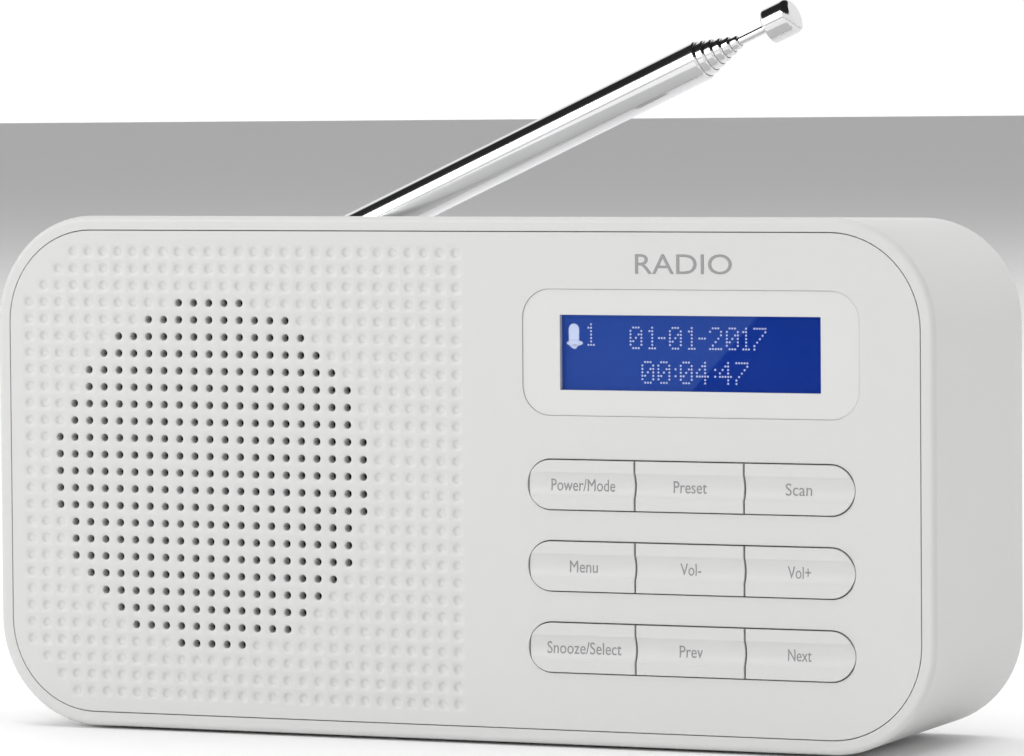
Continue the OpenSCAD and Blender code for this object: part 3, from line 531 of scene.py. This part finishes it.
# %% Fill the flat, draw the walls back and close the rear
panel_thick = 0.002
start_edit(panel, "VERT")
bpy.ops.mesh.select_all(action="SELECT")
bpy.ops.mesh.remove_doubles(threshold=0.00001)
bpy.ops.mesh.select_all(action="DESELECT")
bpy.ops.mesh.select_mode(type="EDGE")
bpy.ops.mesh.select_non_manifold(extend=False, use_wire=True, use_boundary=True, use_multi_face=False,
                                 use_non_contiguous=False, use_verts=False)
bpy.ops.object.mode_set(mode="OBJECT")
points = panel.data.vertices
for e in panel.data.edges:
    if e.select and any(abs(points[i].co.y - front) > 1e-6 for i in e.vertices):
        e.select = False
chosen = {i for e in panel.data.edges if e.select for i in e.vertices}
for v in points:
    v.select = v.index in chosen
bpy.ops.object.mode_set(mode="EDIT")
bpy.ops.mesh.fill(use_beauty=True)
for step in ("walls", "rear"):
    bpy.ops.mesh.select_all(action="DESELECT")
    bpy.ops.mesh.select_non_manifold(extend=False, use_wire=False, use_boundary=True, use_multi_face=False,
                                     use_non_contiguous=False, use_verts=False)
    if step == "walls":
        bpy.ops.mesh.extrude_edges_move()
        bpy.ops.object.mode_set(mode="OBJECT")
        for v in panel.data.vertices:
            if v.select:
                v.co.y = front + panel_thick
        bpy.ops.object.mode_set(mode="EDIT")
    else:
        bpy.ops.mesh.fill(use_beauty=False)
bpy.ops.mesh.select_all(action="SELECT")
bpy.ops.mesh.normals_make_consistent(inside=False)
bpy.ops.object.mode_set(mode="OBJECT")
clear_selection()
panel.select_set(True)
bpy.context.view_layer.objects.active = panel
bpy.ops.object.shade_smooth_by_angle(angle=math.radians(50))
panel.data.materials.clear()
panel.data.materials.append(white)
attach(panel, "radio")
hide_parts("front_panel")
print("panel faces:", len(panel.data.polygons), "edges not closed:", open_edges(panel))

# %% [markdown]
# ## Printing
# The labels are pad-printed: a film of ink two hundredths of a millimetre thick that follows the
# scooped face of its key. Text is typed, made a mesh, cut at a few heights so that it can bend, and
# laid on the scoop. A key's label rides with the key, so it goes in when the key is pressed.

# %% The depth of a face, straight in from the front
def face_depth(name, x, z):
    return bpy.data.objects[name].ray_cast(Vector((x, -1, z)), Vector((0, 1, 0)))[1].y


# %% Type a label and lay it on its face
# half the thickness of the ink, the height of a capital in the plain font, and the cuts in mm
ink = 0.00001
capital = 0.69
cuts = (-0.75, -0.45, -0.15, 0.15, 0.45, 0.75)


def printed(name, words, centre, cap_height, width, key):
    clear_selection()
    bpy.ops.object.text_add(location=(0, 0, 0))
    obj = bpy.context.object
    obj.data.body = words
    obj.data.extrude = ink
    obj.data.resolution_u = 4
    bpy.ops.object.convert(target="MESH")
    obj = bpy.context.object
    obj.name = name
    across = [v.co.x for v in obj.data.vertices]
    grow = Matrix.Diagonal((width / (max(across) - min(across)), cap_height / capital, 1, 1))
    middle = Matrix.Translation((-(max(across) + min(across)) / 2, 0, 0))
    upright = Matrix.Rotation(math.pi / 2, 4, "X")
    shift = Matrix.Translation((centre.x, centre.y - 1.5 * ink, centre.z - cap_height / 2))
    obj.data.transform(shift @ upright @ grow @ middle)
    if key:
        start_edit(obj)
        for step in cuts:
            bpy.ops.mesh.select_all(action="SELECT")
            bpy.ops.mesh.bisect(plane_co=(0, 0, centre.z + step * MM), plane_no=(0, 0, 1))
        bpy.ops.object.mode_set(mode="OBJECT")
        for v in obj.data.vertices:
            v.co.y += face_depth(key, v.co.x, v.co.z) - centre.y
    obj.data.materials.clear()
    obj.data.materials.append(print_grey)
    return obj


# %% Print the nine key labels and the plain word above the display
labels = {
    "key_power": ("Power/Mode", 11.7),
    "key_preset": ("Preset", 6.0),
    "key_scan": ("Scan", 4.7),
    "key_menu": ("Menu", 5.1),
    "key_vol_down": ("Vol-", 3.7),
    "key_vol_up": ("Vol+", 4.1),
    "key_snooze": ("Snooze/Select", 13.6),
    "key_prev": ("Prev", 4.2),
    "key_next": ("Next", 4.2),
}
column_step = 19.5
for i, (name, (words, width)) in enumerate(labels.items()):
    lo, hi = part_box(name)
    spot = Vector((bezel_mid.x + (i % 3 - 1) * column_step * MM, lo.y, (lo.z + hi.z) / 2))
    label = printed("label_" + name[4:], words, spot, 0.002, width * MM, name)
    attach(label, name)
word_spot = Vector((bezel_mid.x - 0.0009, front, bezel_hi.z + 0.0043))
word = printed("word_radio", "RADIO", word_spot, 0.0033, 0.0175, "")
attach(word, "radio")
print("labels:", len(labels) + 1)

# %% [markdown]
# ## Dots on the display
# The glass shows a small bell with a number, a date and a time. Each character is a grid of round
# dots, seven high. One dot is made, copied to each lit place, and the copies are joined into one
# piece that lies just in front of the glass. The bell is a solid shape: three discs, pulled to size.

# %% The characters as rows of bits
shapes = {
    "0": "01110 10001 10011 10101 11001 10001 01110",
    "1": "010 110 010 010 010 010 111",
    "2": "01110 10001 00001 00010 00100 01000 11111",
    "4": "00010 00110 01010 10010 11111 00010 00010",
    "7": "11111 00001 00010 00100 01000 10000 10000",
    "-": "000 000 000 111 000 000 000",
    ":": "0 0 1 0 1 0 0",
}
dot_step = Vector((0.494, 0.574))
date = [("0", 0), ("1", 7), ("-", 10.5), ("0", 14.5), ("1", 21.5), ("-", 25.3), ("2", 29.2),
        ("0", 35.3), ("1", 41.3), ("7", 45.3)]
clock = [("0", 4.3), ("0", 10.2), (":", 16.5), ("0", 18.4), ("4", 24.3), (":", 31), ("4", 32.7),
         ("7", 38.7)]
line_left, line_top = -11.05, 4.25


# %% List the lit places, in millimetres from the window's middle
def lit(character, column, row):
    return [(line_left + (column + c) * dot_step.x, line_top - (row + r) * dot_step.y)
            for r, bits in enumerate(shapes[character].split()) for c, bit in enumerate(bits) if bit == "1"]


places = lit("1", -15.6, -0.8)
for character, column in date:
    places += lit(character, column, 0)
for character, column in clock:
    places += lit(character, column, 10)
print("lit dots:", len(places))

# %% Make one dot, copy it and join the copies
glass_lo, glass_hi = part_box("lcd_cell")
window_mid = (window_lo + window_hi) / 2


def on_glass(across, up, lift=0.00002):
    return Vector((window_mid.x + across * MM, glass_lo.y - lift, window_mid.z + up * MM))


def flat_disc(name, spot, radius, sides):
    clear_selection()
    bpy.ops.mesh.primitive_cylinder_add(vertices=sides, radius=radius, depth=0.00003, location=spot,
                                        rotation=(math.pi / 2, 0, 0))
    obj = settle(bpy.context.object)
    obj.name = name
    return obj


first_spot = on_glass(*places[0])
dots = [flat_disc("display_dots", first_spot, 0.00018, 10)]
for across, up in places[1:]:
    dot = dots[0].copy()
    dot.data = dots[0].data.copy()
    dot.data.transform(Matrix.Translation(on_glass(across, up) - first_spot))
    bpy.context.collection.objects.link(dot)
    dots.append(dot)
display_dots = join(dots, "display_dots")

# %% Make the bell from three discs
# each row: where it is, how wide and high it is, how far its lower half drops, and its lift
discs = [
    (-21.4, 3.85, 1.95, 1.95, 2.2, 0.00002),
    (-21.25, 1.55, 3.0, 1.0, 0, 0.00003),
    (-21.3, 0.95, 0.95, 0.8, 0, 0.00004),
]
bell_parts = []
for across, up, wide, high, drop, lift in discs:
    disc = flat_disc("bell_part", on_glass(across, up, lift), 0.0005, 24)
    middle = on_glass(across, up)
    for v in disc.data.vertices:
        v.co.x = middle.x + (v.co.x - middle.x) * wide
        v.co.z = middle.z + (v.co.z - middle.z) * high
        if v.co.z < middle.z:
            v.co.z -= drop * MM
    bell_parts.append(disc)
bell = join(bell_parts, "display_bell")
for piece in (display_dots, bell):
    piece.data.materials.clear()
    piece.data.materials.append(dot_light)
    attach(piece, "radio")
print("display faces:", len(display_dots.data.polygons) + len(bell.data.polygons))

# %% [markdown]
# ## Camera, floor and light
# A long lens from a little above the radio's middle keeps its sides nearly parallel. Chrome shows
# what is round it, so the room is made for the antenna: a bright band from the floor up to a third
# of the way to the zenith, and a dark ceiling above it. The panel overhead lights the floor and the
# white plastic, and is left out of mirror reflections.

# %% Camera
# the way it looks, which way is up, where it stands and its long lens
clear_selection()
bpy.ops.object.camera_add()
camera = bpy.context.object
camera.name = "camera"
look = Vector((-0.42097, 0.90587, -0.04676)).normalized()
rise = Vector((-0.01286, 0.04558, 0.99888))
side = look.cross(rise).normalized()
rise = side.cross(look).normalized()
stand = Vector((0.4555, front - 0.9554, 0.1114))
turned = Matrix((side, rise, -look)).transposed().to_4x4()
camera.matrix_world = Matrix.Translation(stand) @ turned
camera.data.lens = 220.5
camera.data.sensor_width = 36
camera.data.clip_end = 20
bpy.context.scene.camera = camera

# %% Floor
clear_selection()
bpy.ops.mesh.primitive_plane_add(size=80, location=(0, 0, 0))
floor = settle(bpy.context.object)
floor.name = "floor"
floor.data.materials.append(finish("pale_floor", (0.94, 0.94, 0.94), 0.6, 300.0, 0.000002, 0.005))


# %% Lights
def panel_light(name, place_at, aim, size, power):
    clear_selection()
    bpy.ops.object.light_add(type="AREA", location=place_at)
    lamp = bpy.context.object
    lamp.name = name
    lamp.data.shape = "RECTANGLE"
    lamp.data.size = size[0]
    lamp.data.size_y = size[1]
    lamp.data.energy = power
    lamp.rotation_euler = (Vector(aim) - Vector(place_at)).to_track_quat("-Z", "Y").to_euler()
    return lamp


panel_light("left_panel", (-1.1, -1.3, 0.75), (0, 0, 0.05), (1.0, 0.8), 12)
overhead = panel_light("overhead_panel", (0, 0.2, 2.2), (0, 0, 0), (3.0, 3.0), 60)
overhead.visible_glossy = False

# %% The room
world = bpy.data.worlds.new("studio_room")
world.use_nodes = True
sky = world.node_tree
height = axes(sky, add(sky, "ShaderNodeTexCoord", out="Generated"))[2]
stops = [(0.0, grey(0.55)), (0.5, grey(1.05)), (0.76, grey(1.05)), (0.80, grey(0.03)), (1.0, grey(0.02))]
band = add(sky, "ShaderNodeValToRGB", {"stops": stops}, {0: height * 0.5 + 0.5})
backdrop = sky.nodes["Background"]
sky.links.new(band.socket, backdrop.inputs["Color"])
backdrop.inputs["Strength"].default_value = 1.0
bpy.context.scene.world = world
bpy.context.scene.view_settings.view_transform = "Standard"
